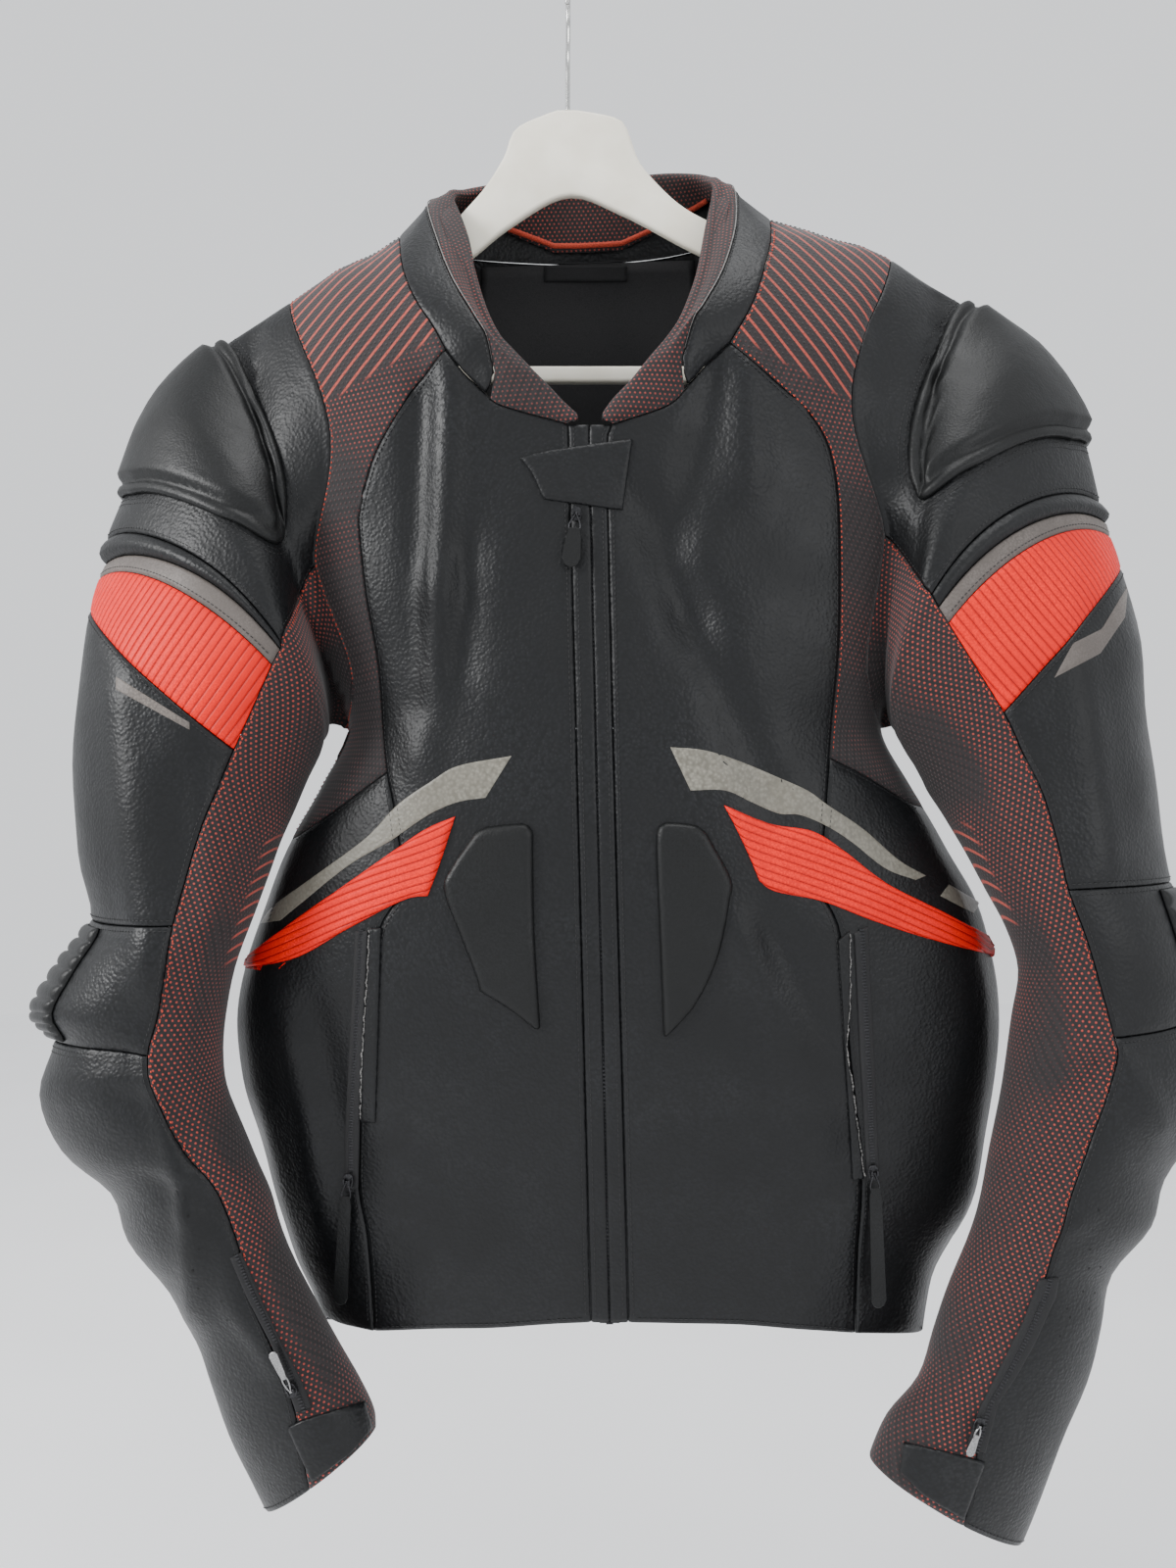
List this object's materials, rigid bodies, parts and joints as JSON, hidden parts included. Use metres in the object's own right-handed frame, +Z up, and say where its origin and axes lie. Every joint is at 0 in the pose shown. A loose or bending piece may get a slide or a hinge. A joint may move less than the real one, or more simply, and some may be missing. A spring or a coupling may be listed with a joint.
{
  "type": "leather motorcycle jacket on a hanger",
  "caption": "Panelled black leather motorcycle jacket with red bands and knit inserts, hanging zipped on a hook hanger.",
  "frame": {"origin": "inner crown of the hook, where the rail carries it", "axes": "+Z up, the jacket's front faces -Y, the wearer's right is -X"},
  "size_m": [0.7921, 0.1837, 1.0583],
  "materials": {
    "leather": "fine pebbled black leather, low sheen",
    "red": "matt red-orange leather with fine ribs",
    "grey": "matt warm grey leather",
    "knit": "black stretch knit with red stripes and dots",
    "lining": "black woven lining",
    "metal": "satin grey metal",
    "wood": "ivory lacquer"
  },
  "bodies": {
    "jacket": {"back_body": "leather", "back_yoke": "leather", "collar_leather": "leather", "throat_tab": "leather", "front_right": "leather", "front_left": "leather", "placket_right": "leather", "placket_left": "leather", "side_right": "leather", "side_left": "leather", "cap_right": "leather", "cap_left": "leather", "upper_right": "leather", "upper_left": "leather", "elbow_right": "leather", "elbow_left": "leather", "elbow_ribs_right": "leather", "elbow_ribs_left": "leather", "forearm_right": "leather", "forearm_left": "leather", "chest_pad_right": "leather", "chest_pad_left": "leather", "pocket_flap_right": "leather", "pocket_flap_left": "leather", "shoulder_protector_right": "leather", "shoulder_protector_left": "leather", "cuff_tab_right": "leather", "cuff_tab_left": "leather", "front_band_right": "red", "front_band_left": "red", "red_band_right": "red", "red_band_left": "red", "shoulder_trim_right": "grey", "shoulder_trim_left": "grey", "yoke_front_right": "knit", "yoke_front_left": "knit", "sleeve_knit_right": "knit", "sleeve_knit_left": "knit", "collar_knit": "knit", "neck_lining": "lining", "hang_loop": "lining", "main_zip": "metal", "hook": "metal", "pocket_zip_right": "metal", "pocket_zip_left": "metal", "cuff_zip_right": "metal", "cuff_zip_left": "metal", "slider_main": "metal", "slider_pocket_right": "metal", "slider_pocket_left": "metal", "slider_cuff_right": "metal", "slider_cuff_left": "metal", "hanger": "wood", "hanger_bar": "wood"},
    "pull_main": {"pull_main": "leather"},
    "pull_pocket_right": {"pull_pocket_right": "leather"},
    "pull_pocket_left": {"pull_pocket_left": "leather"},
    "pull_cuff_right": {"pull_cuff_right": "leather"},
    "pull_cuff_left": {"pull_cuff_left": "leather"}
  },
  "joints": [
    {"name": "main_pull_swing", "type": "hinge", "parent": "jacket", "child": "pull_main", "pos_m": [0.0077, -0.08311, -0.38663], "axis": [-0.9944, 0.0108, 0.1047], "range_deg": [0, 150]},
    {"name": "pocket_right_pull_swing", "type": "hinge", "parent": "jacket", "child": "pull_pocket_right", "pos_m": [-0.14096, -0.05357, -0.81494], "axis": [-0.9536, 0.2935, 0.0665], "range_deg": [0, 150]},
    {"name": "pocket_left_pull_swing", "type": "hinge", "parent": "jacket", "child": "pull_pocket_left", "pos_m": [0.1996, -0.05928, -0.80723], "axis": [-0.9724, -0.2275, -0.0512], "range_deg": [0, 150]},
    {"name": "cuff_right_pull_swing", "type": "hinge", "parent": "jacket", "child": "pull_cuff_right", "pos_m": [-0.16619, -0.10184, -0.92701], "axis": [0.8825, 0.2306, 0.4098], "range_deg": [0, 150]},
    {"name": "cuff_left_pull_swing", "type": "hinge", "parent": "jacket", "child": "pull_cuff_left", "pos_m": [0.25375, -0.10163, -0.94854], "axis": [-0.9494, 0.0863, 0.3021], "range_deg": [0, 150]}
  ]
}
